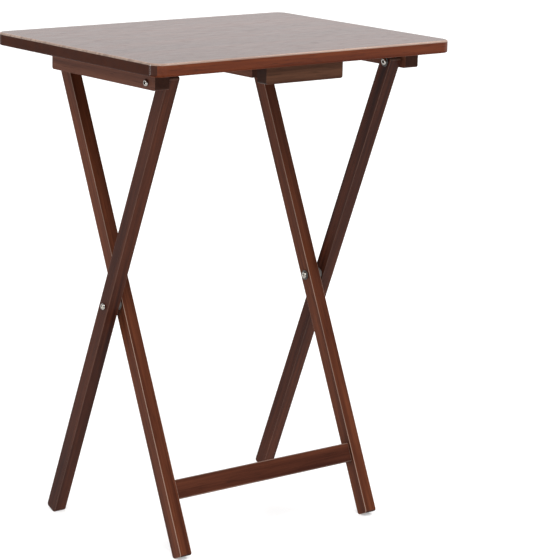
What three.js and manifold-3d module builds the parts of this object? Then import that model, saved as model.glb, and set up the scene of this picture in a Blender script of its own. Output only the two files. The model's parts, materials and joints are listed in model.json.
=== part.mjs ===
// Folding tray table: a wooden tray on two pairs of legs that cross like scissors.
//
// Millimetres, +Z up, +X along the tray's long side, front at -Y. The origin is on the floor under
// the middle of the tray. The outer legs hang from two cleats under the tray and lean back towards
// the floor. The inner legs lean forward, carry the low stretcher, and hold a round crossbar at
// the top, which sits in a notch in the centre runner while the table is open.

import * as THREE from 'three';
import { mergeVertices } from 'three/addons/utils/BufferGeometryUtils.js';
import Module from 'manifold-3d';

const wasm = await Module();
wasm.setup();

// Driving dimensions.
const TABLE_HEIGHT = 659;
const TRAY_WIDTH = 483;
const TRAY_DEPTH = 368;
const TRAY_THICKNESS = 17;
const TRAY_CORNER_RADIUS = 16;
const TRAY_EASE = 2.5;

// Battens under the tray.
const BATTEN_HEIGHT = 22.5;
const BATTEN_CORNER_RADIUS = 3;
const CLEAT_THICKNESS = 22;
const CLEAT_LENGTH = 230;
const CLEAT_SIDE_INSET = 26;
const CLEAT_FRONT_INSET = 39;
const BLOCK_LENGTH = 125;
const BLOCK_THICKNESS = 19;
const BLOCK_FRONT_INSET = 12.5;
const RUNNER_WIDTH = 80;
const RUNNER_START_BEHIND_PIVOT = 14;
const RUNNER_TAIL = 15;
const NOTCH_RAMP_ANGLE = Math.PI / 4;

// Legs. A leg's thickness is along the pivots, its depth is across them.
const LEG_THICKNESS = 18;
const LEG_DEPTH = 19.5;
const LEG_FOOT_RADIUS = 4;
const LEG_TOP_RADIUS = 3;
const LEG_TOP_BEYOND_PIVOT = 9;
const CLEAT_TO_LEG_GAP = 2.5;
const LEG_TO_LEG_GAP = 6;
const CROSSING_HEIGHT = 315;

// Where the tray hangs and rests.
const PIVOT_FROM_FRONT_EDGE = 57;
const PIVOT_BELOW_TRAY = 14;
const CROSSBAR_FROM_BACK_EDGE = 47;
const CROSSBAR_BELOW_TRAY = 14;
const CROSSBAR_DIAMETER = 18;

// Low stretcher.
const STRETCHER_HEIGHT = 26;
const STRETCHER_THICKNESS = 13;
const STRETCHER_ABOVE_FOOT = 87;
const STRETCHER_CORNER_RADIUS = 1;

// Pivot bolts and their sleeve nuts.
const BOLT_SHANK_DIAMETER = 6;
const BOLT_HEAD_DIAMETER = 9;
const BOLT_HEAD_HEIGHT = 2.6;
const SLEEVE_DIAMETER = 8.6;
const SLEEVE_HEAD_DIAMETER = 9.4;
const SLEEVE_HEAD_HEIGHT = 2;
const SLEEVE_END_WALL = 1;
const WASHER_DIAMETER = 13.5;
const WASHER_THICKNESS = 1;
const SPACER_DIAMETER = 15;

// Wood screws and dowels.
const SCREW_INTO_TRAY = 9.9;
const SCREW_HEAD_DIAMETER = 8;
const SCREW_HEAD_HEIGHT = 3;
const SCREW_SHANK_DIAMETER = 4;
const SCREW_TIP_LENGTH = 4;
const SCREW_HEAD_SUNK = 0.4;
const CLEAT_SCREW_FROM_FRONT_END = 55;
const CLEAT_SCREW_FROM_BACK_END = 40;
const BLOCK_SCREW_FROM_END = 20.5;
const RUNNER_SCREW_FROM_FRONT_END = 22;
const RUNNER_SCREW_FROM_RAMP = 31;
const DOWEL_DIAMETER = 6;
const DOWEL_LENGTH = 28;
const DOWEL_INTO_LEG = 10;
const STRETCHER_DOWEL_SPREAD = 12;

// Clearances: between flat faces that meet, and round anything that sits in a hole.
const JOINT_LINE = 0.1;
const CLEARANCE = 0.3;

// Numbers of straight pieces in round shapes.
const EASE_STEPS = 3;
const ARC_STEPS = 5;
const ROUND_STEPS = 16;
const CROSSBAR_STEPS = 28;

// Corners nearer than this are welded into one before a shape becomes a solid.
const WELD_DISTANCE = 1e-4;

// How far a cutter reaches past the piece that it goes right through.
const OVERSHOOT = 1;

// Places worked out from the sizes above.
const trayUnderside = TABLE_HEIGHT - TRAY_THICKNESS;
const battenTop = trayUnderside - JOINT_LINE;
const battenBottom = trayUnderside - BATTEN_HEIGHT;
const pivot = new THREE.Vector2(
  PIVOT_FROM_FRONT_EDGE - TRAY_DEPTH / 2,
  trayUnderside - PIVOT_BELOW_TRAY,
);
const crossbar = new THREE.Vector2(
  TRAY_DEPTH / 2 - CROSSBAR_FROM_BACK_EDGE,
  trayUnderside - CROSSBAR_BELOW_TRAY,
);
const crossing = new THREE.Vector2(0, CROSSING_HEIGHT);
const outerTilt = Math.atan2(crossing.x - pivot.x, pivot.y - crossing.y);
const innerTilt = Math.atan2(crossbar.x - crossing.x, crossbar.y - crossing.y);
const outerReach = crossing.distanceTo(pivot);
const innerReach = crossing.distanceTo(crossbar);
const cleatOuterFace = TRAY_WIDTH / 2 - CLEAT_SIDE_INSET;
const cleatInnerFace = cleatOuterFace - CLEAT_THICKNESS;
const outerLegOuterFace = cleatInnerFace - CLEAT_TO_LEG_GAP;
const outerLegInnerFace = outerLegOuterFace - LEG_THICKNESS;
const innerLegOuterFace = outerLegInnerFace - LEG_TO_LEG_GAP;
const innerLegInnerFace = innerLegOuterFace - LEG_THICKNESS;
const boltHole = BOLT_SHANK_DIAMETER + 2 * CLEARANCE;
const sleeveHole = SLEEVE_DIAMETER + 2 * CLEARANCE;
const screwLength = BATTEN_HEIGHT - SCREW_HEAD_SUNK + SCREW_INTO_TRAY;

// Materials.
const wood = new THREE.MeshStandardMaterial({ color: 0x4a2116, roughness: 0.42, metalness: 0 });
const trayWood = new THREE.MeshStandardMaterial({ color: 0x5a2a1b, roughness: 0.3, metalness: 0 });
const bareWood = new THREE.MeshStandardMaterial({ color: 0xc49a6c, roughness: 0.7, metalness: 0 });
const zincSteel = new THREE.MeshStandardMaterial({ color: 0xc9c6bd, roughness: 0.3, metalness: 1 });
const darkSteel = new THREE.MeshStandardMaterial({ color: 0x3c3835, roughness: 0.45, metalness: 1 });
const greyNylon = new THREE.MeshStandardMaterial({ color: 0x5f5b57, roughness: 0.6, metalness: 0 });

const table = new THREE.Group();
const trayGroup = new THREE.Group();
const outerGroup = new THREE.Group();
const innerGroup = new THREE.Group();
outerGroup.position.set(0, crossing.x, crossing.y);
outerGroup.rotation.x = outerTilt;
innerGroup.position.set(0, crossing.x, crossing.y);
innerGroup.rotation.x = -innerTilt;
table.add(trayGroup, outerGroup, innerGroup);

function addPiece(group, name, geometry, material) {
  const mesh = new THREE.Mesh(geometry, material);
  mesh.name = name;
  group.add(mesh);
  return mesh;
}

// Turns a closed geometry into a solid that can be cut.
function solidOf(geometry) {
  const bare = geometry.clone();
  bare.deleteAttribute('normal');
  bare.deleteAttribute('uv');
  const merged = mergeVertices(bare, WELD_DISTANCE);
  return new wasm.Manifold(new wasm.Mesh({
    numProp: 3,
    vertProperties: new Float32Array(merged.attributes.position.array),
    triVerts: new Uint32Array(merged.index.array),
  }));
}

function geometryOf(solid) {
  const mesh = solid.getMesh();
  const geometry = new THREE.BufferGeometry();
  geometry.setAttribute('position', new THREE.BufferAttribute(mesh.vertProperties, 3));
  geometry.setIndex(new THREE.BufferAttribute(mesh.triVerts, 1));
  geometry.computeVertexNormals();
  return geometry;
}

function cut(geometry, cutters) {
  const solid = cutters.reduce((body, cutter) => body.subtract(solidOf(cutter)), solidOf(geometry));
  return geometryOf(solid);
}

// A rectangle from low to high corner with its own corner radius at each end of Y.
function barShape(halfWidth, low, high, lowRadius, highRadius) {
  const shape = new THREE.Shape();
  shape.absarc(halfWidth - highRadius, high - highRadius, highRadius, 0, Math.PI / 2);
  shape.absarc(highRadius - halfWidth, high - highRadius, highRadius, Math.PI / 2, Math.PI);
  shape.absarc(lowRadius - halfWidth, low + lowRadius, lowRadius, Math.PI, 1.5 * Math.PI);
  shape.absarc(halfWidth - lowRadius, low + lowRadius, lowRadius, 1.5 * Math.PI, 2 * Math.PI);
  return shape;
}

// Extrudes a side view, drawn in Y and Z, between two places along X.
function extrudeAcross(shape, fromX, toX) {
  const geometry = new THREE.ExtrudeGeometry(shape, {
    depth: toX - fromX, bevelEnabled: false, curveSegments: ARC_STEPS,
  });
  geometry.applyMatrix4(new THREE.Matrix4().makeBasis(
    new THREE.Vector3(0, 1, 0), new THREE.Vector3(0, 0, 1), new THREE.Vector3(1, 0, 0),
  ));
  geometry.translate(fromX, 0, 0);
  return geometry;
}

function cylinderAcross(diameter, fromX, toX, y, z, steps = ROUND_STEPS) {
  const geometry = new THREE.CylinderGeometry(diameter / 2, diameter / 2, toX - fromX, steps);
  geometry.rotateZ(-Math.PI / 2);
  geometry.translate((fromX + toX) / 2, y, z);
  return geometry;
}

// A turned shape about the X axis. The outline lists radius and distance along X.
function turnedAcross(outline, steps = ROUND_STEPS) {
  const points = outline.map(([radius, along]) => new THREE.Vector2(radius, along));
  return new THREE.LatheGeometry(points, steps).rotateZ(-Math.PI / 2);
}

// Quarter of a flattened dome, from the rim to the axis.
function domeOutline(radius, base, height) {
  return Array.from({ length: ARC_STEPS + 1 }, (_, step) => {
    const angle = (step / ARC_STEPS) * Math.PI / 2;
    const onAxis = step === ARC_STEPS;
    return [onAxis ? 0 : radius * Math.cos(angle), base + height * Math.sin(angle)];
  });
}

// Wood screw, point up, with its countersunk head's face at z = 0.
function screwGeometry(grow) {
  const shank = SCREW_SHANK_DIAMETER / 2 + grow;
  const head = SCREW_HEAD_DIAMETER / 2 + grow;
  const length = screwLength + grow;
  const outline = [
    [0, -grow * 2],
    [head, -grow * 2],
    [head, grow],
    [shank, SCREW_HEAD_HEIGHT + grow],
    [shank, length - SCREW_TIP_LENGTH],
    [0, length],
  ];
  const points = outline.map(([radius, along]) => new THREE.Vector2(radius, along));
  return new THREE.LatheGeometry(points, ROUND_STEPS).rotateX(Math.PI / 2);
}

function screwAt(grow, x, y) {
  return screwGeometry(grow).translate(x, y, battenBottom + SCREW_HEAD_SUNK);
}

// Battens: each is fixed to the tray from below by screws.
const cleatFront = CLEAT_FRONT_INSET - TRAY_DEPTH / 2;
const blockFront = BLOCK_FRONT_INSET - TRAY_DEPTH / 2;
const runnerFront = pivot.x + RUNNER_START_BEHIND_PIVOT;
const cleatBack = cleatFront + CLEAT_LENGTH;
const cleatMiddle = cleatOuterFace - CLEAT_THICKNESS / 2;
const cleatScrewYs = [
  cleatFront + CLEAT_SCREW_FROM_FRONT_END,
  cleatBack - CLEAT_SCREW_FROM_BACK_END,
];
const blockScrewX = BLOCK_LENGTH / 2 - BLOCK_SCREW_FROM_END;
const blockScrewY = blockFront + BLOCK_THICKNESS / 2;

// The notch: its seat is round, and its ramp meets the seat without a corner.
const notchRadius = CROSSBAR_DIAMETER / 2 + CLEARANCE;
const rampTop = Math.PI / 2 + NOTCH_RAMP_ANGLE;
const rampTopY = crossbar.x + notchRadius * Math.cos(rampTop);
const rampTopZ = crossbar.y + notchRadius * Math.sin(rampTop);
const rampFoot = rampTopY - (rampTopZ - battenBottom) / Math.tan(NOTCH_RAMP_ANGLE);
const runnerFirstScrew = runnerFront + RUNNER_SCREW_FROM_FRONT_END;
const runnerLastScrew = rampFoot - RUNNER_SCREW_FROM_RAMP;

const screwPlaces = {
  cleat_left: cleatScrewYs.map((y) => [-cleatMiddle, y]),
  cleat_right: cleatScrewYs.map((y) => [cleatMiddle, y]),
  front_block: [[-blockScrewX, blockScrewY], [blockScrewX, blockScrewY]],
  centre_runner: [
    [0, runnerFirstScrew],
    [0, (runnerFirstScrew + runnerLastScrew) / 2],
    [0, runnerLastScrew],
  ],
};

function battenWithHoles(name, geometry, otherCuts = []) {
  const screwHoles = screwPlaces[name].map(([x, y]) => screwAt(CLEARANCE, x, y));
  addPiece(trayGroup, name, cut(geometry, [...screwHoles, ...otherCuts]), wood);
  screwPlaces[name].forEach(([x, y], index) => {
    addPiece(trayGroup, `screw_${name}_${index + 1}`, screwAt(0, x, y), darkSteel);
  });
}

// Tray: a flat board with round corners and eased edges.
function trayGeometry() {
  const shape = barShape(
    TRAY_WIDTH / 2, -TRAY_DEPTH / 2, TRAY_DEPTH / 2, TRAY_CORNER_RADIUS, TRAY_CORNER_RADIUS,
  );
  const board = new THREE.ExtrudeGeometry(shape, {
    depth: TRAY_THICKNESS - 2 * TRAY_EASE,
    bevelThickness: TRAY_EASE,
    bevelSize: TRAY_EASE,
    bevelOffset: -TRAY_EASE,
    bevelSegments: EASE_STEPS,
    curveSegments: ARC_STEPS,
  });
  board.translate(0, 0, trayUnderside + TRAY_EASE);
  const screwHoles = Object.values(screwPlaces).flat().map(([x, y]) => screwAt(CLEARANCE, x, y));
  return cut(board, screwHoles);
}
addPiece(trayGroup, 'tray_top', trayGeometry(), trayWood);

// Cleats: their lower corners are rounded at both ends, and the tray's pivot bolts pass through.
function cleatGeometry(side) {
  const shape = barShape(CLEAT_LENGTH / 2, battenBottom, battenTop, BATTEN_CORNER_RADIUS, 0);
  const inner = side * cleatInnerFace;
  const outer = side * cleatOuterFace;
  const geometry = extrudeAcross(shape, Math.min(inner, outer), Math.max(inner, outer));
  return geometry.translate(0, (cleatFront + cleatBack) / 2, 0);
}
for (const [name, side] of [['cleat_left', -1], ['cleat_right', 1]]) {
  const faces = [side * cleatInnerFace, side * cleatOuterFace].sort((a, b) => a - b);
  const hole = cylinderAcross(
    boltHole, faces[0] - OVERSHOOT, faces[1] + OVERSHOOT, pivot.x, pivot.y,
  );
  battenWithHoles(name, cleatGeometry(side), [hole]);
}

// Front block: stops the crossbar when the table is folded away.
function blockGeometry() {
  const shape = barShape(BLOCK_LENGTH / 2, battenBottom, battenTop, BATTEN_CORNER_RADIUS, 0);
  const geometry = new THREE.ExtrudeGeometry(shape, {
    depth: BLOCK_THICKNESS, bevelEnabled: false, curveSegments: ARC_STEPS,
  });
  geometry.rotateX(Math.PI / 2);
  return geometry.translate(0, blockFront + BLOCK_THICKNESS, 0);
}
battenWithHoles('front_block', blockGeometry());

// Centre runner: its rear notch drops over the crossbar. The notch has a plain wall behind the
// crossbar and a ramp in front, so that the crossbar leaves it forwards as the tray is lifted.
function runnerShape() {
  const shape = new THREE.Shape();
  shape.moveTo(runnerFront, battenTop);
  shape.lineTo(runnerFront, battenBottom);
  shape.lineTo(rampFoot, battenBottom);
  shape.absarc(crossbar.x, crossbar.y, notchRadius, rampTop, 0, true);
  shape.lineTo(crossbar.x + notchRadius, battenBottom);
  shape.lineTo(crossbar.x + notchRadius + RUNNER_TAIL, battenBottom);
  shape.lineTo(crossbar.x + notchRadius + RUNNER_TAIL, battenTop);
  return shape;
}
battenWithHoles('centre_runner', extrudeAcross(runnerShape(), -RUNNER_WIDTH / 2, RUNNER_WIDTH / 2));

// Legs are drawn in their group's frame: the crossing bolts are at its origin, the foot is down.
function footLength(tilt) {
  const cornerOffset = (LEG_DEPTH / 2 - LEG_FOOT_RADIUS) * Math.sin(tilt);
  const drop = CROSSING_HEIGHT - LEG_FOOT_RADIUS - cornerOffset;
  return LEG_FOOT_RADIUS + drop / Math.cos(tilt);
}
const outerFoot = footLength(outerTilt);
const innerFoot = footLength(innerTilt);
const stretcherZ = STRETCHER_ABOVE_FOOT - innerFoot;
const dowelPlaces = [
  ['crossbar', innerReach],
  ['stretcher_upper', stretcherZ + STRETCHER_DOWEL_SPREAD / 2],
  ['stretcher_lower', stretcherZ - STRETCHER_DOWEL_SPREAD / 2],
];

function outerLegGeometry(side) {
  const shape = barShape(
    LEG_DEPTH / 2, -outerFoot, outerReach + LEG_TOP_BEYOND_PIVOT, LEG_FOOT_RADIUS, LEG_TOP_RADIUS,
  );
  const faces = [side * outerLegInnerFace, side * outerLegOuterFace].sort((a, b) => a - b);
  const blank = extrudeAcross(shape, ...faces);
  const crossingHole = cylinderAcross(boltHole, faces[0] - OVERSHOOT, faces[1] + OVERSHOOT, 0, 0);
  const pivotHole = cylinderAcross(sleeveHole, faces[0] - OVERSHOOT, faces[1] + OVERSHOOT, 0, outerReach);
  return cut(blank, [crossingHole, pivotHole]);
}

// The dowels go in from the leg's inner face and stop short of its outer face.
function dowelGeometry(side, z, grow) {
  const deep = side * (innerLegInnerFace + DOWEL_INTO_LEG + grow);
  const shallow = side * (innerLegInnerFace + DOWEL_INTO_LEG - DOWEL_LENGTH - grow);
  const ends = [deep, shallow].sort((a, b) => a - b);
  return cylinderAcross(DOWEL_DIAMETER + 2 * grow, ...ends, 0, z);
}

function innerLegGeometry(side) {
  const halfDepth = LEG_DEPTH / 2;
  const shape = barShape(halfDepth, -innerFoot, innerReach + halfDepth, LEG_FOOT_RADIUS, halfDepth);
  const faces = [side * innerLegInnerFace, side * innerLegOuterFace].sort((a, b) => a - b);
  const blank = extrudeAcross(shape, ...faces);
  const crossingHole = cylinderAcross(sleeveHole, faces[0] - OVERSHOOT, faces[1] + OVERSHOOT, 0, 0);
  const dowelHoles = dowelPlaces.map(([, z]) => dowelGeometry(side, z, CLEARANCE));
  return cut(blank, [crossingHole, ...dowelHoles]);
}

for (const [word, side] of [['left', -1], ['right', 1]]) {
  addPiece(outerGroup, `outer_leg_${word}`, outerLegGeometry(side), wood);
  addPiece(innerGroup, `inner_leg_${word}`, innerLegGeometry(side), wood);
  for (const [place, z] of dowelPlaces) {
    addPiece(innerGroup, `dowel_${place}_${word}`, dowelGeometry(side, z, 0), bareWood);
  }
}

// Rails between the inner legs: a round crossbar at the top and a flat stretcher near the feet.
function railEndHoles(names) {
  const places = dowelPlaces.filter(([place]) => names.includes(place));
  return [-1, 1].flatMap((side) => places.map(([, z]) => dowelGeometry(side, z, CLEARANCE)));
}
const railEnd = innerLegInnerFace - CLEARANCE;
const crossbarBlank = cylinderAcross(
  CROSSBAR_DIAMETER, -railEnd, railEnd, 0, innerReach, CROSSBAR_STEPS,
);
addPiece(innerGroup, 'top_crossbar', cut(crossbarBlank, railEndHoles(['crossbar'])), wood);
const stretcherBlank = extrudeAcross(
  barShape(
    STRETCHER_THICKNESS / 2, stretcherZ - STRETCHER_HEIGHT / 2, stretcherZ + STRETCHER_HEIGHT / 2,
    STRETCHER_CORNER_RADIUS, STRETCHER_CORNER_RADIUS,
  ),
  -railEnd, railEnd,
);
const stretcherHoles = railEndHoles(['stretcher_upper', 'stretcher_lower']);
addPiece(innerGroup, 'low_stretcher', cut(stretcherBlank, stretcherHoles), wood);

// Pivot hardware. A bolt enters from outside, and its shank ends inside a sleeve nut that enters
// from inside. Every piece is drawn for the right side, and turned half round for the left.
function boltGeometry(underHead, tip) {
  const shank = BOLT_SHANK_DIAMETER / 2;
  return turnedAcross([
    [0, tip],
    [shank, tip],
    [shank, underHead],
    ...domeOutline(BOLT_HEAD_DIAMETER / 2, underHead, BOLT_HEAD_HEIGHT),
  ]);
}

function sleeveNutGeometry(underHead, mouth) {
  const bore = boltHole / 2;
  const barrel = SLEEVE_DIAMETER / 2;
  const boreEnd = underHead - SLEEVE_HEAD_HEIGHT + SLEEVE_END_WALL;
  const head = domeOutline(SLEEVE_HEAD_DIAMETER / 2, -underHead, SLEEVE_HEAD_HEIGHT)
    .map(([radius, along]) => [radius, -along])
    .reverse();
  return turnedAcross([
    ...head,
    [barrel, underHead],
    [barrel, mouth],
    [bore, mouth],
    [bore, boreEnd],
    [0, boreEnd],
  ]);
}

function ringGeometry(diameter, holeDiameter, from, to) {
  return turnedAcross([
    [holeDiameter / 2, from],
    [diameter / 2, from],
    [diameter / 2, to],
    [holeDiameter / 2, to],
    [holeDiameter / 2, from],
  ]);
}

// Adds one pivot: bolt, spacer ring in the gap, inner washer and sleeve nut, on both sides.
function addPivot(name, z, outerFace, gap, innerFace) {
  const washerFrom = innerFace - CLEARANCE - WASHER_THICKNESS;
  const sleeveHead = washerFrom - CLEARANCE / 2;
  const sleeveMouth = gap.from - CLEARANCE;
  const boltTip = sleeveHead + SLEEVE_END_WALL + CLEARANCE;
  const pieces = [
    ['bolt', boltGeometry(outerFace + CLEARANCE, boltTip), zincSteel],
    ['spacer', ringGeometry(
      SPACER_DIAMETER, boltHole, gap.from + CLEARANCE, gap.to - CLEARANCE,
    ), greyNylon],
    ['washer', ringGeometry(
      WASHER_DIAMETER, sleeveHole, washerFrom, washerFrom + WASHER_THICKNESS,
    ), darkSteel],
    ['sleeve_nut', sleeveNutGeometry(sleeveHead, sleeveMouth), zincSteel],
  ];
  for (const [piece, geometry, material] of pieces) {
    for (const [word, halfTurn] of [['right', 0], ['left', Math.PI]]) {
      const mesh = addPiece(outerGroup, `${name}_${piece}_${word}`, geometry, material);
      mesh.position.z = z;
      mesh.rotation.z = halfTurn;
    }
  }
}
addPivot(
  'tray_pivot', outerReach, cleatOuterFace,
  { from: outerLegOuterFace, to: cleatInnerFace }, outerLegInnerFace,
);
addPivot(
  'crossing', 0, outerLegOuterFace,
  { from: innerLegOuterFace, to: outerLegInnerFace }, innerLegInnerFace,
);

export default table;
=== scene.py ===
import json
import math

import bmesh
import bpy
from mathutils import Matrix, Vector


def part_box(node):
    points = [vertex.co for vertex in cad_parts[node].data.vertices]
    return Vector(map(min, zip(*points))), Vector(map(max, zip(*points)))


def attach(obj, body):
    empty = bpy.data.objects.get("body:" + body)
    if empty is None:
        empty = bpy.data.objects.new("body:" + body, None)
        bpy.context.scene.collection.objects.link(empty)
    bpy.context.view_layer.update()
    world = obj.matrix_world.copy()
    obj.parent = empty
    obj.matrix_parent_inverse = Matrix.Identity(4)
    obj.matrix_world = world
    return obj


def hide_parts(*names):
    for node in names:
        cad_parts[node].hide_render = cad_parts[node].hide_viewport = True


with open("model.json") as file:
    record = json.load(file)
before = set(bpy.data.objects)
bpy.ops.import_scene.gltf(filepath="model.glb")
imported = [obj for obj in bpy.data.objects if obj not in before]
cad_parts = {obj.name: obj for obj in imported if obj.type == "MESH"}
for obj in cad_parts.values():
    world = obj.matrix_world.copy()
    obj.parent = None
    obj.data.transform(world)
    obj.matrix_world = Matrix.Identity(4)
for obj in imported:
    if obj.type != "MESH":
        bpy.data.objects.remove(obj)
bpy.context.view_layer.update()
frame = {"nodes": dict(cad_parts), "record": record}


# Camera. It stands well back from the table's front left corner with a long lens, higher than
# the tray and looking down on it, and is rolled by about one degree.
CAMERA_AIM = Vector((0.0801, 0, 0.3164))
CAMERA_AZIMUTH = math.radians(-38.37)
CAMERA_ELEVATION = math.radians(12.98)
CAMERA_ROLL = math.radians(1.19)
CAMERA_DISTANCE = 3.263
CAMERA_LENS = 159.9

camera_data = bpy.data.cameras.new("camera")
camera_data.sensor_fit = "HORIZONTAL"
camera_data.sensor_width = 36
camera_data.lens = CAMERA_LENS
camera = bpy.data.objects.new("camera", camera_data)
bpy.context.scene.collection.objects.link(camera)
bpy.context.scene.camera = camera
turn = Matrix.Rotation(CAMERA_AZIMUTH, 4, "Z")
tip_up = Matrix.Rotation(math.pi / 2 - CAMERA_ELEVATION, 4, "X")
roll = Matrix.Rotation(CAMERA_ROLL, 4, "Z")
step_back = Matrix.Translation((0, 0, CAMERA_DISTANCE))
camera.matrix_world = Matrix.Translation(CAMERA_AIM) @ turn @ tip_up @ step_back @ roll


# Studio. A white floor and a bright surround above and behind the table, dimmer in front of it,
# with a broad soft light high at the front left. A tall light far left and a square one high on
# the right draw thin bright lines along the rounded corners and edges.
SURROUND_BRIGHT = 0.90
SURROUND_DIM = 0.14
TOWARDS_BRIGHT = (0.50, 0.65, 0.57)
KEY_STRENGTH = 3.0
KEY_SPREAD = math.radians(44)
KEY_TURN = (math.radians(42), 0, math.radians(-30))
FLOOR_COLOUR = (0.60, 0.60, 0.60, 1)
FLOOR_GLOW = 0.38

bpy.context.scene.view_settings.view_transform = "Standard"
world = bpy.data.worlds.new("studio")
bpy.context.scene.world = world
world.use_nodes = True
nodes, links = world.node_tree.nodes, world.node_tree.links
direction = nodes.new("ShaderNodeTexCoord")
facing = nodes.new("ShaderNodeVectorMath")
facing.operation = "DOT_PRODUCT"
facing.inputs[1].default_value = TOWARDS_BRIGHT
fade = nodes.new("ShaderNodeMapRange")
fade.interpolation_type = "SMOOTHSTEP"
fade.inputs["From Min"].default_value = -0.75
fade.inputs["From Max"].default_value = 0.55
fade.inputs["To Min"].default_value = SURROUND_DIM
fade.inputs["To Max"].default_value = SURROUND_BRIGHT
links.new(direction.outputs["Generated"], facing.inputs[0])
links.new(facing.outputs["Value"], fade.inputs["Value"])
links.new(fade.outputs["Result"], nodes["Background"].inputs["Strength"])
nodes["Background"].inputs["Color"].default_value = (1, 1, 1, 1)

key_data = bpy.data.lights.new("key_light", "SUN")
key_data.energy = KEY_STRENGTH
key_data.angle = KEY_SPREAD
key = bpy.data.objects.new("key_light", key_data)
bpy.context.scene.collection.objects.link(key)
key.rotation_euler = KEY_TURN


# A flat soft light that faces the table.
def add_soft_light(name, place, width, height, power):
    data = bpy.data.lights.new(name, "AREA")
    data.shape = "RECTANGLE"
    data.size = width
    data.size_y = height
    data.energy = power
    light = bpy.data.objects.new(name, data)
    bpy.context.scene.collection.objects.link(light)
    light.location = place
    light.rotation_euler = (CAMERA_AIM - Vector(place)).to_track_quat("-Z", "Y").to_euler()


add_soft_light("strip_light", (-2.35, 1.30, 0.55), width=0.14, height=1.2, power=11)
add_soft_light("edge_light", (1.45, -0.55, 2.45), width=0.9, height=0.9, power=20)

bpy.ops.object.select_all(action="DESELECT")
bpy.ops.mesh.primitive_plane_add(size=60, location=(0, 0, 0))
floor = bpy.context.active_object
floor.name = "floor"
floor_paint = bpy.data.materials.new("floor paint")
floor_paint.use_nodes = True
floor_shader = floor_paint.node_tree.nodes["Principled BSDF"]
floor_shader.inputs["Base Color"].default_value = FLOOR_COLOUR
floor_shader.inputs["Roughness"].default_value = 0.35
floor_shader.inputs["Specular IOR Level"].default_value = 0.3
floor_shader.inputs["Emission Color"].default_value = (1, 1, 1, 1)
floor_shader.inputs["Emission Strength"].default_value = FLOOR_GLOW
floor.data.materials.append(floor_paint)


# Tray. A flat board with round corners and eased edges, edge-glued from strips, stained red-brown
# and finished with a clear lacquer that is glossier on the top than round the edges.
TRAY_CORNER_RADIUS = 0.016
TRAY_EASE = 0.0026
TRAY_PALE = (0.105, 0.0280, 0.0125, 1)
TRAY_DEEP = (0.050, 0.0115, 0.0055, 1)
EDGE_PALE = (0.150, 0.0350, 0.0100, 1)
EDGE_DEEP = (0.066, 0.0125, 0.0042, 1)
PORE_COLOUR = (0.012, 0.004, 0.002, 1)
# End grain colour: end grain takes more stain, and it is made darker still as painted shade, as on the
# cleat ends in the shade under the tray.
END_GRAIN_AND_SHADE_COLOUR = (0.020, 0.006, 0.003, 1)
# Pale colour painted on the eased edges as a painted highlight along them.
EDGE_HIGHLIGHT_COLOUR = (0.54, 0.40, 0.32, 1)


# The lowest and highest corners of a CAD node.
def corners(node):
    low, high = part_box(node)
    return Vector(low), Vector(high)


def make_active(piece):
    bpy.ops.object.select_all(action="DESELECT")
    piece.select_set(True)
    bpy.context.view_layer.objects.active = piece


def name_piece(name):
    piece = bpy.context.active_object
    piece.name = piece.data.name = name
    return piece


# A rectangular block between two corners.
def add_block(name, low, high):
    bpy.ops.object.select_all(action="DESELECT")
    bpy.ops.mesh.primitive_cube_add(size=1, location=(Vector(low) + Vector(high)) / 2)
    block = name_piece(name)
    block.scale = Vector(high) - Vector(low)
    bpy.ops.object.transform_apply(location=True, rotation=True, scale=True)
    return block


# Tests of an edge by the places of its two ends. Shorter edges belong to cuts and roundings.
NEAR_AN_END = 0.001
SHORTEST_EDGE = 0.005


def upright_edge(a, b):
    return abs(a.z - b.z) > SHORTEST_EDGE


def edge_at_bottom(bottom, axis):
    return lambda a, b: (
        max(a.z, b.z) < bottom + NEAR_AN_END and abs(a[axis] - b[axis]) > SHORTEST_EDGE)


def edge_at_top(top, axis):
    return lambda a, b: (
        min(a.z, b.z) > top - NEAR_AN_END and abs(a[axis] - b[axis]) > SHORTEST_EDGE)


# Rounds the edges whose two ends pass the test.
def round_edges(piece, test, radius, segments):
    make_active(piece)
    bpy.ops.object.mode_set(mode="EDIT")
    bpy.ops.mesh.select_mode(type="EDGE")
    bpy.ops.mesh.select_all(action="DESELECT")
    shape = bmesh.from_edit_mesh(piece.data)
    for edge in shape.edges:
        if test(edge.verts[0].co, edge.verts[1].co):
            edge.select_set(True)
    bmesh.update_edit_mesh(piece.data)
    bpy.ops.mesh.bevel(offset=radius, segments=segments, affect="EDGES")
    bpy.ops.object.mode_set(mode="OBJECT")


# Eases every sharp edge that is left, and keeps the flat faces shaded flat.
def ease(piece, width, segments=3):
    make_active(piece)
    bevel = piece.modifiers.new("ease", "BEVEL")
    bevel.limit_method = "ANGLE"
    bevel.angle_limit = math.radians(35)
    bevel.width = width
    bevel.segments = segments
    bpy.ops.object.modifier_apply(modifier=bevel.name)
    bpy.ops.object.shade_smooth_by_angle(angle=math.radians(40))
    flat = piece.modifiers.new("flat faces", "WEIGHTED_NORMAL")
    flat.keep_sharp = True
    bpy.ops.object.modifier_apply(modifier=flat.name)


# Marks the eased edges, which are narrow strips, and the faces across the grain.
def mark_wood(piece, grain):
    widest_strip = 0.0009
    least_across_grain = 0.7
    edges = piece.data.attributes.new("eased_edge", "FLOAT", "FACE")
    ends = piece.data.attributes.new("end_grain", "FLOAT", "FACE")
    for face in piece.data.polygons:
        ring = [piece.data.vertices[index].co for index in face.vertices]
        longest = max((a - b).length for a, b in zip(ring, ring[1:] + ring[:1]))
        across_grain = abs(face.normal.dot(Vector(grain)))
        edges.data[face.index].value = 1.0 if face.area / longest < widest_strip else 0.0
        ends.data[face.index].value = 1.0 if across_grain > least_across_grain else 0.0


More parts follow.
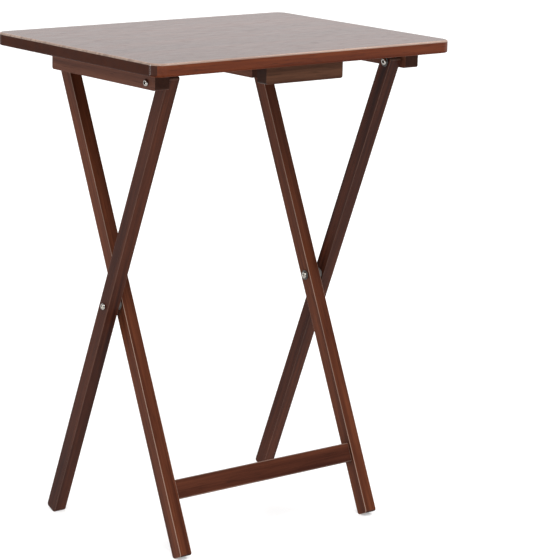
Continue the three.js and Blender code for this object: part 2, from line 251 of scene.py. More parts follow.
# Shader group: stained wood. Z of the coordinates runs along the grain. Lacquer is how much of
# the clear coat stands above the grain.
def build_stain_group():
    group = bpy.data.node_groups.new("stained wood", "ShaderNodeTree")
    face = group.interface
    face.new_socket("Grain Coordinates", in_out="INPUT", socket_type="NodeSocketVector")
    for name in ("Pale Colour", "Deep Colour"):
        face.new_socket(name, in_out="INPUT", socket_type="NodeSocketColor")
    for name in ("Pore Depth", "Smoothest", "Roughest", "Painted Edge Highlight"):
        face.new_socket(name, in_out="INPUT", socket_type="NodeSocketFloat")
    face.new_socket("Colour", in_out="OUTPUT", socket_type="NodeSocketColor")
    face.new_socket("Roughness", in_out="OUTPUT", socket_type="NodeSocketFloat")
    face.new_socket("Height", in_out="OUTPUT", socket_type="NodeSocketFloat")
    face.new_socket("Lacquer", in_out="OUTPUT", socket_type="NodeSocketFloat")
    nodes, links = group.nodes, group.links
    given = nodes.new("NodeGroupInput")
    made = nodes.new("NodeGroupOutput")

    # Noise stretched along the grain: how many times it varies per metre across and along.
    def streaks(across, along, detail):
        stretch = nodes.new("ShaderNodeVectorMath")
        stretch.operation = "MULTIPLY"
        stretch.inputs[1].default_value = (across, across, along)
        links.new(given.outputs["Grain Coordinates"], stretch.inputs[0])
        noise = nodes.new("ShaderNodeTexNoise")
        noise.inputs["Scale"].default_value = 1
        noise.inputs["Detail"].default_value = detail
        links.new(stretch.outputs["Vector"], noise.inputs["Vector"])
        return noise.outputs["Fac"]

    def spread(value, low, high, to_low=0.0, to_high=1.0):
        remap = nodes.new("ShaderNodeMapRange")
        remap.inputs["From Min"].default_value = low
        remap.inputs["From Max"].default_value = high
        remap.inputs["To Min"].default_value = to_low
        remap.inputs["To Max"].default_value = to_high
        links.new(value, remap.inputs["Value"])
        return remap.outputs["Result"]

    def combine(operation, first, second):
        maths = nodes.new("ShaderNodeMath")
        maths.operation = operation
        for socket, value in zip(maths.inputs, (first, second)):
            if isinstance(value, (int, float)):
                socket.default_value = value
            else:
                links.new(value, socket)
        return maths.outputs["Value"]

    # Inputs 0, 6 and 7 of a colour mix are its factor and its two colours, and output 2 the result.
    def blend(amount, first, second):
        mix = nodes.new("ShaderNodeMix")
        mix.data_type = "RGBA"
        for index, value in ((0, amount), (6, first), (7, second)):
            if isinstance(value, (int, float, tuple)):
                mix.inputs[index].default_value = value
            else:
                links.new(value, mix.inputs[index])
        return mix.outputs[2]

    # Broad bands, the finer figure, the fibres and the open pores.
    band_share, figure_share, pore_share, end_grain_and_shade_share = 0.55, 0.45, 0.38, 0.8
    bands = spread(streaks(across=55, along=2.2, detail=3), 0.36, 0.64)
    figure = spread(streaks(across=210, along=6, detail=4), 0.32, 0.68)
    fibres = streaks(across=900, along=22, detail=2)
    pores = spread(streaks(across=620, along=42, detail=1), 0.60, 0.74)
    banding = combine("MULTIPLY", bands, band_share)
    figuring = combine("MULTIPLY", figure, figure_share)
    tone = combine("ADD", banding, figuring)
    wood = blend(tone, given.outputs["Deep Colour"], given.outputs["Pale Colour"])
    wood = blend(spread(fibres, 0.35, 0.65, 0.35, 0.0), wood, given.outputs["Deep Colour"])
    wood = blend(combine("MULTIPLY", pores, pore_share), wood, PORE_COLOUR)

    # End grain drinks more stain, and is darkened further as painted shade. The eased edges are painted
    # paler, as a painted highlight along them.
    end = nodes.new("ShaderNodeAttribute")
    end.attribute_name = "end_grain"
    wood = blend(combine("MULTIPLY", end.outputs["Fac"], end_grain_and_shade_share), wood, END_GRAIN_AND_SHADE_COLOUR)
    edge = nodes.new("ShaderNodeAttribute")
    edge.attribute_name = "eased_edge"
    edge_highlight_amount = combine("MULTIPLY", edge.outputs["Fac"], spread(figure, 0, 1, 0.5, 1.0))
    edge_highlight_amount = combine("MULTIPLY", edge_highlight_amount, given.outputs["Painted Edge Highlight"])
    wood = blend(edge_highlight_amount, wood, EDGE_HIGHLIGHT_COLOUR)
    links.new(wood, made.inputs["Colour"])

    gloss = nodes.new("ShaderNodeMapRange")
    links.new(combine("MULTIPLY", combine("ADD", fibres, figure), 0.5), gloss.inputs["Value"])
    gloss.inputs["From Min"].default_value = 0.2
    gloss.inputs["From Max"].default_value = 0.8
    links.new(given.outputs["Smoothest"], gloss.inputs["To Min"])
    links.new(given.outputs["Roughest"], gloss.inputs["To Max"])
    links.new(gloss.outputs["Result"], made.inputs["Roughness"])

    # The lacquer sinks a little into the grain, which breaks its gloss into fine streaks.
    sunk = combine("ADD", combine("MULTIPLY", pores, 0.25), spread(fibres, 0.3, 0.7, 0.0, 0.22))
    links.new(combine("SUBTRACT", 1.0, sunk), made.inputs["Lacquer"])

    dips = combine("MULTIPLY", pores, given.outputs["Pore Depth"])
    relief = combine("SUBTRACT", combine("MULTIPLY", fibres, 0.25), dips)
    links.new(relief, made.inputs["Height"])
    return group


stain_group = build_stain_group()


# A wood material. The turn and middle bring the grain onto the coordinates' Z axis. The edge highlight
# amount sets how pale the eased edges are painted, as a painted highlight.
def stained_wood(name, pale, deep, turn, middle, smoothest, roughest, pore_depth, edge_highlight, sheen_level):
    material = bpy.data.materials.new(name)
    material.use_nodes = True
    nodes, links = material.node_tree.nodes, material.node_tree.links
    shader = nodes["Principled BSDF"]
    place = nodes.new("ShaderNodeTexCoord")
    mapping = nodes.new("ShaderNodeMapping")
    mapping.vector_type = "TEXTURE"
    mapping.inputs["Location"].default_value = middle
    mapping.inputs["Rotation"].default_value = turn
    stain = nodes.new("ShaderNodeGroup")
    stain.node_tree = stain_group
    stain.inputs["Pale Colour"].default_value = pale
    stain.inputs["Deep Colour"].default_value = deep
    stain.inputs["Smoothest"].default_value = smoothest
    stain.inputs["Roughest"].default_value = roughest
    stain.inputs["Pore Depth"].default_value = pore_depth
    stain.inputs["Painted Edge Highlight"].default_value = edge_highlight
    bump = nodes.new("ShaderNodeBump")
    bump.inputs["Strength"].default_value = 0.35
    bump.inputs["Distance"].default_value = 0.0002
    links.new(place.outputs["Object"], mapping.inputs["Vector"])
    links.new(mapping.outputs["Vector"], stain.inputs["Grain Coordinates"])
    links.new(stain.outputs["Colour"], shader.inputs["Base Color"])
    links.new(stain.outputs["Roughness"], shader.inputs["Roughness"])
    links.new(stain.outputs["Height"], bump.inputs["Height"])
    links.new(bump.outputs["Normal"], shader.inputs["Normal"])
    shader.inputs["Specular IOR Level"].default_value = sheen_level
    return material


# A clear coat of the same weight all over.
def coat(material, weight, ior, roughness):
    shader = material.node_tree.nodes["Principled BSDF"]
    shader.inputs["Coat Weight"].default_value = weight
    shader.inputs["Coat IOR"].default_value = ior
    shader.inputs["Coat Roughness"].default_value = roughness


ALONG_X = (0, math.pi / 2, 0)
ALONG_Y = (-math.pi / 2, 0, 0)

tray_low, tray_high = corners("tray_top")
tray = add_block("tray_board", tray_low, tray_high)
round_edges(tray, upright_edge, TRAY_CORNER_RADIUS, 14)
ease(tray, TRAY_EASE, 5)
mark_wood(tray, (1, 0, 0))

GRAIN_MIDDLE = (0, 0.03, 0.58)
tray_lacquer = stained_wood(
    "tray lacquer", TRAY_PALE, TRAY_DEEP, ALONG_X, GRAIN_MIDDLE,
    smoothest=0.16, roughest=0.26, pore_depth=0.25, edge_highlight=0.55, sheen_level=0.0)
coat(tray_lacquer, weight=1.0, ior=1.42, roughness=0.12)
lacquer_nodes = tray_lacquer.node_tree.nodes
tray_lacquer.node_tree.links.new(
    lacquer_nodes["Group"].outputs["Lacquer"], lacquer_nodes["Principled BSDF"].inputs["Coat Weight"])
tray_edge_lacquer = stained_wood(
    "tray edge lacquer", EDGE_PALE, EDGE_DEEP, ALONG_X, GRAIN_MIDDLE,
    smoothest=0.34, roughest=0.50, pore_depth=0.5, edge_highlight=0.0, sheen_level=0.03)
coat(tray_edge_lacquer, weight=0.35, ior=1.35, roughness=0.16)
tray_corner_lacquer = stained_wood(
    "tray corner lacquer", EDGE_PALE, EDGE_DEEP, ALONG_X, GRAIN_MIDDLE,
    smoothest=0.34, roughest=0.50, pore_depth=0.5, edge_highlight=0.0, sheen_level=0.03)
coat(tray_corner_lacquer, weight=0.35, ior=1.45, roughness=0.12)
tray_end_stain = stained_wood(
    "tray end stain", EDGE_PALE, EDGE_DEEP, ALONG_X, GRAIN_MIDDLE,
    smoothest=0.45, roughest=0.60, pore_depth=0.5, edge_highlight=0.0, sheen_level=0.05)


# The tray's finish at a face: lacquer on the top, the long edges and the rounded corners, and
# plain stain where the grain ends and on the underside.
def tray_finish(face):
    least_slope, end_on, least_turn = 0.05, 0.999, 0.02
    across, along, up = abs(face.normal.y), abs(face.normal.x), face.normal.z
    if up > least_slope:
        return tray_lacquer
    if along > end_on or up < -least_slope:
        return tray_end_stain
    if along > least_turn and across > least_turn:
        return tray_corner_lacquer
    return tray_edge_lacquer


tray_finishes = [tray_lacquer, tray_edge_lacquer, tray_corner_lacquer, tray_end_stain]
for finish in tray_finishes:
    tray.data.materials.append(finish)
for face in tray.data.polygons:
    face.material_index = tray_finishes.index(tray_finish(face))
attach(tray, "tray")
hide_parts("tray_top")


# Battens under the tray: two side cleats that the legs hang from, a front block, and a centre
# runner whose notch drops over the crossbar. Planed strips, eased, stained and screwed on.
BATTEN_CORNER_RADIUS = 0.003
BATTEN_EASE = 0.0009
HOLE_CLEARANCE = 0.0003
BOLT_HOLE_RADIUS = 0.0033
SCREW_HEAD_RADIUS = 0.004
SCREW_SHANK_RADIUS = 0.002
SCREW_HEAD_DEPTH = 0.003
CROSSBAR_RADIUS = 0.009
RAMP_REACH = 0.05
CUT_PAST = 0.01
CLEAT_PALE = (0.190, 0.0760, 0.0460, 1)
CLEAT_DEEP = (0.076, 0.0260, 0.0155, 1)
BLOCK_PALE = (0.108, 0.0470, 0.0260, 1)
BLOCK_DEEP = (0.040, 0.0150, 0.0085, 1)


# A round bar along X between two places.
def add_bar_across(name, radius, from_x, to_x, y, z, sides=32):
    bpy.ops.object.select_all(action="DESELECT")
    bpy.ops.mesh.primitive_cylinder_add(
        vertices=sides, radius=radius, depth=to_x - from_x,
        location=((from_x + to_x) / 2, y, z), rotation=(0, math.pi / 2, 0))
    bar = name_piece(name)
    bpy.ops.object.transform_apply(location=True, rotation=True, scale=True)
    return bar


# Cuts one solid out of another and throws the cutter away. Each CUT_PAST value is how far a
# cutter reaches beyond the faces it goes through.
def cut_away(piece, cutter):
    make_active(piece)
    cut = piece.modifiers.new("cut", "BOOLEAN")
    cut.operation = "DIFFERENCE"
    cut.solver = "EXACT"
    cut.object = cutter
    bpy.ops.object.modifier_apply(modifier=cut.name)
    bpy.data.objects.remove(cutter, do_unlink=True)


# A countersunk hole for the screw of the given CAD node, from below.
def drill_screw_hole(piece, screw_node):
    low, high = corners(screw_node)
    middle = (low + high) / 2
    head = SCREW_HEAD_RADIUS + HOLE_CLEARANCE
    shank = SCREW_SHANK_RADIUS + HOLE_CLEARANCE
    bpy.ops.object.select_all(action="DESELECT")
    bpy.ops.mesh.primitive_cone_add(
        vertices=32, radius1=head, radius2=shank, depth=SCREW_HEAD_DEPTH,
        location=(middle.x, middle.y, low.z + SCREW_HEAD_DEPTH / 2))
    cut_away(piece, name_piece("countersink"))
    bpy.ops.object.select_all(action="DESELECT")
    mouth_top, mouth_length = low.z + 0.0001, 0.002
    bpy.ops.mesh.primitive_cylinder_add(
        vertices=32, radius=head, depth=mouth_length,
        location=(middle.x, middle.y, mouth_top - mouth_length / 2))
    cut_away(piece, name_piece("mouth"))


def finish_batten(piece, node, grain, material):
    ease(piece, BATTEN_EASE)
    mark_wood(piece, grain)
    piece.data.materials.append(material)
    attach(piece, "tray")
    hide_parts(node)


cleat_stain = stained_wood(
    "cleat stain", CLEAT_PALE, CLEAT_DEEP, ALONG_Y, (0.02, 0, 0.60),
    smoothest=0.38, roughest=0.55, pore_depth=0.8, edge_highlight=0.3, sheen_level=0.06)
block_stain = stained_wood(
    "block stain", BLOCK_PALE, BLOCK_DEEP, ALONG_X, (0, 0.05, 0.55),
    smoothest=0.38, roughest=0.55, pore_depth=0.9, edge_highlight=0.3, sheen_level=0.06)

joints = frame["record"]["behaviour"]["joints"]
joint_places = {joint["name"]: Vector(joint["pos_m"]) for joint in joints}
tray_pivot, crossing = joint_places["tray_swing"], joint_places["leg_fold"]
crossbar_low, crossbar_high = corners("top_crossbar")
crossbar_middle = (crossbar_low + crossbar_high) / 2

for side in ("left", "right"):
    low, high = corners(f"cleat_{side}")
    cleat = add_block(f"side_cleat_{side}", low, high)
    round_edges(cleat, edge_at_bottom(low.z, axis=0), BATTEN_CORNER_RADIUS, 5)
    cut_away(cleat, add_bar_across(
        "bolt hole", BOLT_HOLE_RADIUS, low.x - CUT_PAST, high.x + CUT_PAST, tray_pivot.y, tray_pivot.z))
    for number in (1, 2):
        drill_screw_hole(cleat, f"screw_cleat_{side}_{number}")
    finish_batten(cleat, f"cleat_{side}", (0, 1, 0), cleat_stain)

low, high = corners("front_block")
block = add_block("block_front", low, high)
round_edges(block, edge_at_bottom(low.z, axis=1), BATTEN_CORNER_RADIUS, 5)
for number in (1, 2):
    drill_screw_hole(block, f"screw_front_block_{number}")
finish_batten(block, "front_block", (1, 0, 0), block_stain)

# The runner's notch: a round seat for the crossbar, a plain wall behind it and a ramp in front.
low, high = corners("centre_runner")
runner = add_block("runner_centre", low, high)
seat_radius = CROSSBAR_RADIUS + HOLE_CLEARANCE
ramp_top_y = crossbar_middle.y - seat_radius * math.sin(math.pi / 4)
ramp_top_z = crossbar_middle.z + seat_radius * math.cos(math.pi / 4)
from_x, to_x = low.x - CUT_PAST, high.x + CUT_PAST
from_z = low.z - CUT_PAST
cut_away(runner, add_bar_across(
    "seat", seat_radius, from_x, to_x, crossbar_middle.y, crossbar_middle.z, 64))
cut_away(runner, add_block(
    "wall", (from_x, crossbar_middle.y, from_z),
    (to_x, crossbar_middle.y + seat_radius, crossbar_middle.z)))
ramp = add_block(
    "ramp", (from_x, ramp_top_y - RAMP_REACH, from_z), (to_x, crossbar_middle.y, ramp_top_z))
bpy.ops.object.mode_set(mode="EDIT")
bpy.ops.mesh.select_all(action="SELECT")
bpy.ops.mesh.bisect(
    plane_co=(0, ramp_top_y, ramp_top_z), plane_no=(0, -1, 1), use_fill=True, clear_outer=True)
bpy.ops.object.mode_set(mode="OBJECT")
cut_away(runner, ramp)
for number in (1, 2, 3):
    drill_screw_hole(runner, f"screw_centre_runner_{number}")
finish_batten(runner, "centre_runner", (0, 1, 0), cleat_stain)


# Wood screws. Black-phosphated steel, with a countersunk head and a cross recess, driven up
# through the battens into the tray.
SCREW_TIP_LENGTH = 0.004
SCREW_TIP_TAPER = 0.08
SCREW_RIM = 0.0003
SCREW_EASE = 0.00012
RECESS_WIDTH = 0.0011
RECESS_SPAN = 0.0046
RECESS_DEPTH = 0.0016
SMALL_CUT_PAST = 0.001


# Shader group: fine scratches and mottling on plated metal or moulded plastic.
def build_wear_group():
    group = bpy.data.node_groups.new("fine wear", "ShaderNodeTree")
    face = group.interface
    for name in ("Mottle Size", "Smoothest", "Roughest"):
        face.new_socket(name, in_out="INPUT", socket_type="NodeSocketFloat")
    for name in ("Clean Colour", "Dull Colour"):
        face.new_socket(name, in_out="INPUT", socket_type="NodeSocketColor")
    face.new_socket("Colour", in_out="OUTPUT", socket_type="NodeSocketColor")
    face.new_socket("Roughness", in_out="OUTPUT", socket_type="NodeSocketFloat")
    face.new_socket("Height", in_out="OUTPUT", socket_type="NodeSocketFloat")
    nodes, links = group.nodes, group.links
    given = nodes.new("NodeGroupInput")
    made = nodes.new("NodeGroupOutput")
    place = nodes.new("ShaderNodeTexCoord")
    mottle = nodes.new("ShaderNodeTexNoise")
    mottle.inputs["Detail"].default_value = 5
    links.new(place.outputs["Object"], mottle.inputs["Vector"])
    links.new(given.outputs["Mottle Size"], mottle.inputs["Scale"])
    scratches = nodes.new("ShaderNodeTexNoise")
    scratches.inputs["Scale"].default_value = 1
    scratches.inputs["Detail"].default_value = 2
    stretch = nodes.new("ShaderNodeVectorMath")
    stretch.operation = "MULTIPLY"
    stretch.inputs[1].default_value = (900, 5000, 900)
    links.new(place.outputs["Object"], stretch.inputs[0])
    links.new(stretch.outputs["Vector"], scratches.inputs["Vector"])
    colour = nodes.new("ShaderNodeMix")
    colour.data_type = "RGBA"
    links.new(mottle.outputs["Fac"], colour.inputs[0])
    links.new(given.outputs["Clean Colour"], colour.inputs[6])
    links.new(given.outputs["Dull Colour"], colour.inputs[7])
    links.new(colour.outputs[2], made.inputs["Colour"])
    gloss = nodes.new("ShaderNodeMapRange")
    gloss.inputs["From Min"].default_value = 0.3
    gloss.inputs["From Max"].default_value = 0.7
    links.new(scratches.outputs["Fac"], gloss.inputs["Value"])
    links.new(given.outputs["Smoothest"], gloss.inputs["To Min"])
    links.new(given.outputs["Roughest"], gloss.inputs["To Max"])
    links.new(gloss.outputs["Result"], made.inputs["Roughness"])
    links.new(scratches.outputs["Fac"], made.inputs["Height"])
    return group


wear_group = build_wear_group()


def worn_surface(name, clean, dull, mottle_size, smoothest, roughest, metallic):
    material = bpy.data.materials.new(name)
    material.use_nodes = True
    nodes, links = material.node_tree.nodes, material.node_tree.links
    shader = nodes["Principled BSDF"]
    shader.inputs["Metallic"].default_value = metallic
    wear = nodes.new("ShaderNodeGroup")
    wear.node_tree = wear_group
    wear.inputs["Mottle Size"].default_value = mottle_size
    wear.inputs["Smoothest"].default_value = smoothest
    wear.inputs["Roughest"].default_value = roughest
    wear.inputs["Clean Colour"].default_value = clean
    wear.inputs["Dull Colour"].default_value = dull
    bump = nodes.new("ShaderNodeBump")
    bump.inputs["Strength"].default_value = 0.15
    bump.inputs["Distance"].default_value = 0.00005
    links.new(wear.outputs["Colour"], shader.inputs["Base Color"])
    links.new(wear.outputs["Roughness"], shader.inputs["Roughness"])
    links.new(wear.outputs["Height"], bump.inputs["Height"])
    links.new(bump.outputs["Normal"], shader.inputs["Normal"])
    return material


# Extrudes one face, the furthest up the axis, and scales it about its middle. Of faces that are
# level, the one taken can differ from run to run, so a stepped end may draw out part of its ring.
def draw_out(piece, axis, distance, taper):
    make_active(piece)
    bpy.ops.object.mode_set(mode="EDIT")
    bpy.ops.mesh.select_mode(type="FACE")
    bpy.ops.mesh.select_all(action="DESELECT")
    shape = bmesh.from_edit_mesh(piece.data)

    def reach(face):
        return face.calc_center_median().dot(axis) + face.normal.dot(axis)

    max(shape.faces, key=reach).select_set(True)
    bmesh.update_edit_mesh(piece.data)
    bpy.ops.mesh.extrude_region_move(TRANSFORM_OT_translate={"value": Vector(axis) * distance})
    bpy.ops.transform.resize(value=(taper, taper, taper))
    bpy.ops.object.mode_set(mode="OBJECT")


phosphated_steel = worn_surface(
    "phosphated steel", (0.10, 0.095, 0.09, 1), (0.035, 0.033, 0.032, 1),
    mottle_size=700, smoothest=0.32, roughest=0.55, metallic=0.9)


def model_screw():
    low, high = corners("screw_front_block_1")
    length = high.z - low.z
    bpy.ops.object.select_all(action="DESELECT")
    bpy.ops.mesh.primitive_cylinder_add(
        vertices=32, radius=SCREW_HEAD_RADIUS, depth=SCREW_RIM, location=(0, 0, SCREW_RIM / 2))
    screw = name_piece("screw_model")
    bpy.ops.object.transform_apply(location=True, rotation=True, scale=True)
    up = Vector((0, 0, 1))
    draw_out(screw, up, SCREW_HEAD_DEPTH - SCREW_RIM, SCREW_SHANK_RADIUS / SCREW_HEAD_RADIUS)
    draw_out(screw, up, length - SCREW_HEAD_DEPTH - SCREW_TIP_LENGTH, 1)
    draw_out(screw, up, SCREW_TIP_LENGTH, SCREW_TIP_TAPER)
    for x, y in ((RECESS_SPAN / 2, RECESS_WIDTH / 2), (RECESS_WIDTH / 2, RECESS_SPAN / 2)):
        cut_away(screw, add_block("recess", (-x, -y, -SMALL_CUT_PAST), (x, y, RECESS_DEPTH)))
    ease(screw, SCREW_EASE, 2)
    screw.data.materials.append(phosphated_steel)
    return screw


# Copies a finished model with a mesh of its own, turned half round for the left side if asked.
def copy_to(model, name, place, half_turn=False):
    make_active(model)
    bpy.ops.object.duplicate()
    copy = name_piece(name)
    copy.location = place
    copy.rotation_euler = (0, 0, math.pi if half_turn else 0)
    bpy.ops.object.transform_apply(location=True, rotation=True, scale=True)
    return copy


screw_model = model_screw()
for node in sorted(frame["nodes"]):
    if node.startswith("screw_"):
        low, high = corners(node)
        middle = (low + high) / 2
        screw = copy_to(screw_model, f"wood_{node}", (middle.x, middle.y, low.z))
        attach(screw, "tray")
        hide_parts(node)
bpy.data.objects.remove(screw_model, do_unlink=True)


# Legs. Two outer legs hang from the cleats, and two inner legs run the other way between them.
# Each is a planed, nearly square bar with eased edges, a foot cut across with round corners, and
# a round or softened top, stained all over and left satin.
LEG_DEPTH = 0.0195
LEG_EASE = 0.0014
LEG_FOOT_RADIUS = 0.004
OUTER_TOP_BEYOND_PIVOT = 0.009
LEG_CUT_PAST = 0.005
OUTER_TOP_RADIUS = 0.003
INNER_TOP_RADIUS = LEG_DEPTH / 2 - 0.00005
SLEEVE_HOLE_RADIUS = 0.0046
OUTER_LEG_PALE = (0.088, 0.0250, 0.0120, 1)
OUTER_LEG_DEEP = (0.020, 0.0054, 0.0036, 1)
INNER_LEG_PALE = (0.124, 0.0360, 0.0155, 1)
INNER_LEG_DEEP = (0.034, 0.0086, 0.0044, 1)

outer_tilt = math.atan2(crossing.y - tray_pivot.y, tray_pivot.z - crossing.z)
inner_tilt = math.atan2(crossbar_middle.y - crossing.y, crossbar_middle.z - crossing.z)
outer_reach = (tray_pivot - crossing).length
inner_reach = math.hypot(crossbar_middle.y - crossing.y, crossbar_middle.z - crossing.z)


# The length from the crossing down to the foot, so that its lower corner touches the floor.
def foot_length(tilt):
    corner = LEG_FOOT_RADIUS + (LEG_DEPTH / 2 - LEG_FOOT_RADIUS) * math.sin(tilt)
    return LEG_FOOT_RADIUS + (crossing.z - corner) / math.cos(tilt)


# Stands a piece, drawn upright with the crossing at the origin, at its leg's slope.
def lean(piece, turn):
    make_active(piece)
    piece.rotation_euler = (turn, 0, 0)
    piece.location = (0, 0, crossing.z)
    bpy.ops.object.transform_apply(location=True, rotation=True, scale=True)


def make_leg(name, node, tilt, turn, top, top_radius, holes, material, body):
    low, high = corners(node)
    foot = -foot_length(tilt)
    leg = add_block(name, (low.x, -LEG_DEPTH / 2, foot), (high.x, LEG_DEPTH / 2, top))
    round_edges(leg, edge_at_bottom(foot, axis=0), LEG_FOOT_RADIUS, 5)
    round_edges(leg, edge_at_top(top, axis=0), top_radius, 8)
    for place, radius in holes:
        cut_away(leg, add_bar_across(
            "hole", radius, low.x - LEG_CUT_PAST, high.x + LEG_CUT_PAST, 0, place))
    ease(leg, LEG_EASE, 4)
    mark_wood(leg, (0, 0, 1))
    lean(leg, turn)
    leg.data.materials.append(material)
    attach(leg, body)
    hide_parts(node)


outer_leg_stain = stained_wood(
    "outer leg stain", OUTER_LEG_PALE, OUTER_LEG_DEEP, (outer_tilt, 0, 0), crossing,
    smoothest=0.30, roughest=0.46, pore_depth=0.5, edge_highlight=0.1, sheen_level=0.06)
inner_leg_stain = stained_wood(
    "inner leg stain", INNER_LEG_PALE, INNER_LEG_DEEP, (-inner_tilt, 0, 0), crossing,
    smoothest=0.30, roughest=0.46, pore_depth=0.5, edge_highlight=0.45, sheen_level=0.06)

for side in ("left", "right"):
    make_leg(
        f"leg_outer_{side}", f"outer_leg_{side}", outer_tilt, outer_tilt,
        outer_reach + OUTER_TOP_BEYOND_PIVOT, OUTER_TOP_RADIUS,
        [(0, BOLT_HOLE_RADIUS), (outer_reach, SLEEVE_HOLE_RADIUS)], outer_leg_stain, "outer_legs")
    make_leg(
        f"leg_inner_{side}", f"inner_leg_{side}", inner_tilt, -inner_tilt,
        inner_reach + LEG_DEPTH / 2, INNER_TOP_RADIUS,
        [(0, SLEEVE_HOLE_RADIUS)], inner_leg_stain, "inner_legs")


# Rails between the inner legs: a turned crossbar at the top and a flat stretcher near the feet,
# both glued onto bare beech dowels.
STRETCHER_HEIGHT = 0.026
STRETCHER_THICKNESS = 0.013
STRETCHER_EASE = 0.0013
CROSSBAR_EASE = 0.0008
RAIL_PALE = (0.092, 0.0270, 0.0130, 1)
RAIL_DEEP = (0.026, 0.0068, 0.0040, 1)
BEECH_PALE = (0.62, 0.42, 0.25, 1)
BEECH_DEEP = (0.45, 0.27, 0.14, 1)

rail_stain = stained_wood(
    "rail stain", RAIL_PALE, RAIL_DEEP, ALONG_X, (0, 0.02, 0.05),
    smoothest=0.30, roughest=0.46, pore_depth=0.5, edge_highlight=0.2, sheen_level=0.06)

crossbar = add_bar_across(
    "crossbar_top", CROSSBAR_RADIUS, crossbar_low.x, crossbar_high.x,
    crossbar_middle.y, crossbar_middle.z, 64)
stretcher_low, stretcher_high = corners("low_stretcher")
stretcher_middle = (stretcher_low + stretcher_high) / 2
half_size = Vector((stretcher_high.x, STRETCHER_THICKNESS / 2, STRETCHER_HEIGHT / 2))
stretcher = add_block("stretcher_low", -half_size, half_size)
ease(crossbar, CROSSBAR_EASE, 2)
ease(stretcher, STRETCHER_EASE, 4)
for rail, node in ((crossbar, "top_crossbar"), (stretcher, "low_stretcher")):
    mark_wood(rail, (1, 0, 0))
    rail.data.materials.append(rail_stain)
    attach(rail, "inner_legs")
    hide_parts(node)
make_active(stretcher)
stretcher.rotation_euler = (-inner_tilt, 0, 0)
stretcher.location = (0, stretcher_middle.y, stretcher_middle.z)
bpy.ops.object.transform_apply(location=True, rotation=True, scale=True)

bare_beech = stained_wood(
    "bare beech", BEECH_PALE, BEECH_DEEP, ALONG_X, (0, 0, 0),
    smoothest=0.6, roughest=0.8, pore_depth=0.6, edge_highlight=0.0, sheen_level=0.5)
for node, dowel in frame["nodes"].items():
    if node.startswith("dowel_"):
        dowel.data.materials.clear()
        dowel.data.materials.append(bare_beech)


# Pivot hardware. At each pivot a bright bolt comes in from outside, through a grey nylon spacer
# between the bars, into a sleeve nut that comes from inside over a dark washer. Bolt and nut
# have low domed heads with a hexagon socket.
BOLT_SHANK_RADIUS = 0.003
BOLT_HEAD_RADIUS = 0.0045
BOLT_HEAD_HEIGHT = 0.0026
NUT_BARREL_RADIUS = 0.0043
NUT_HEAD_RADIUS = 0.0047
NUT_HEAD_HEIGHT = 0.002
WASHER_RADIUS = 0.00675
SPACER_RADIUS = 0.0075
SOCKET_RADIUS = 0.0022
SOCKET_DEPTH = 0.0014
HEAD_EASE = 0.0002
RING_EASE = 0.00015
DOME_SHARE = 0.8

bright_zinc = worn_surface(
    "bright zinc", (0.42, 0.40, 0.37, 1), (0.24, 0.23, 0.21, 1),
    mottle_size=500, smoothest=0.07, roughest=0.18, metallic=1.0)
grey_nylon = worn_surface(
    "grey nylon", (0.10, 0.09, 0.085, 1), (0.06, 0.055, 0.05, 1),
    mottle_size=900, smoothest=0.42, roughest=0.62, metallic=0.0)


# A domed head at the outer end of a bar along X, with a hexagon socket in its face.
def dome_and_socket(piece, rim_radius, face_x, height, outward):
    rim_share, slack = 0.9, 1e-5

    def on_rim(a, b):
        return all(
            abs(v.x - face_x) < slack and math.hypot(v.y, v.z) > rim_radius * rim_share
            for v in (a, b))

    round_edges(piece, on_rim, height * DOME_SHARE, 6)
    from_x, to_x = sorted((face_x - outward * SOCKET_DEPTH, face_x + outward * SMALL_CUT_PAST))
    cut_away(piece, add_bar_across("socket", SOCKET_RADIUS, from_x, to_x, 0, 0, 6))


def finish_hardware(piece, material, ease_width):
    ease(piece, ease_width, 2)
    piece.data.materials.append(material)


# The bolt is drawn for the right side: its head's top is at high.x and its tip at low.x.
def model_bolt(low, high):
    bolt = add_bar_across("bolt_model", BOLT_HEAD_RADIUS, high.x - BOLT_HEAD_HEIGHT, high.x, 0, 0, 48)
    dome_and_socket(bolt, BOLT_HEAD_RADIUS, high.x, BOLT_HEAD_HEIGHT, 1)
    inward = Vector((-1, 0, 0))
    draw_out(bolt, inward, 0, BOLT_SHANK_RADIUS / BOLT_HEAD_RADIUS)
    draw_out(bolt, inward, high.x - BOLT_HEAD_HEIGHT - low.x, 1)
    finish_hardware(bolt, bright_zinc, HEAD_EASE)
    return bolt


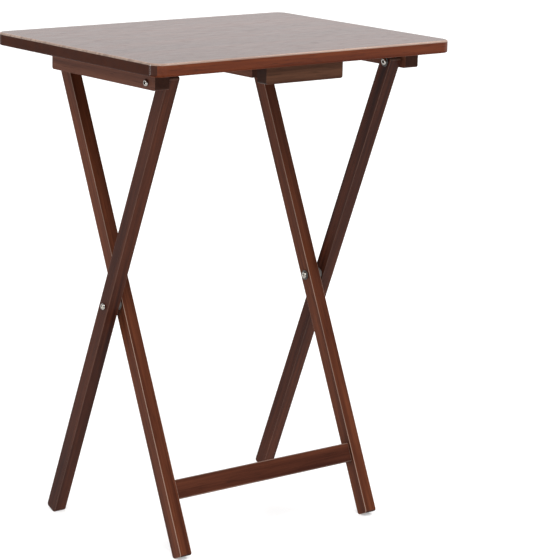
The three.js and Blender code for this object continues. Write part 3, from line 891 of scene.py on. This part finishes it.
def model_sleeve_nut(low, high):
    nut = add_bar_across("nut_model", NUT_HEAD_RADIUS, low.x, low.x + NUT_HEAD_HEIGHT, 0, 0, 48)
    dome_and_socket(nut, NUT_HEAD_RADIUS, low.x, NUT_HEAD_HEIGHT, -1)
    outward = Vector((1, 0, 0))
    draw_out(nut, outward, 0, NUT_BARREL_RADIUS / NUT_HEAD_RADIUS)
    draw_out(nut, outward, high.x - low.x - NUT_HEAD_HEIGHT, 1)
    cut_away(nut, add_bar_across(
        "bore", BOLT_HOLE_RADIUS, low.x + NUT_HEAD_HEIGHT, high.x + SMALL_CUT_PAST, 0, 0, 48))
    finish_hardware(nut, bright_zinc, HEAD_EASE)
    return nut


def model_ring(low, high, radius, hole_radius, material):
    ring = add_bar_across("ring_model", radius, low.x, high.x, 0, 0, 64)
    cut_away(ring, add_bar_across(
        "ring hole", hole_radius, low.x - SMALL_CUT_PAST, high.x + SMALL_CUT_PAST, 0, 0, 48))
    finish_hardware(ring, material, RING_EASE)
    return ring


def model_hardware(kind, low, high):
    if kind == "bolt":
        return model_bolt(low, high)
    if kind == "sleeve_nut":
        return model_sleeve_nut(low, high)
    if kind == "washer":
        return model_ring(low, high, WASHER_RADIUS, SLEEVE_HOLE_RADIUS, phosphated_steel)
    return model_ring(low, high, SPACER_RADIUS, BOLT_HOLE_RADIUS, grey_nylon)


hardware_slots = {
    "bolt": "zinc_steel", "sleeve_nut": "zinc_steel", "washer": "dark_steel", "spacer": "grey_nylon"}
for pivot_name, centre in (("tray_pivot", tray_pivot), ("crossing", crossing)):
    for kind, slot_name in hardware_slots.items():
        low, high = corners(f"{pivot_name}_{kind}_right")
        model = model_hardware(kind, low, high)
        for side in ("left", "right"):
            node = f"{pivot_name}_{kind}_{side}"
            piece = copy_to(model, f"{node}_part", (0, centre.y, centre.z), side == "left")
            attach(piece, "outer_legs")
            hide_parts(node)
        bpy.data.objects.remove(model, do_unlink=True)

bpy.ops.object.select_all(action="DESELECT")
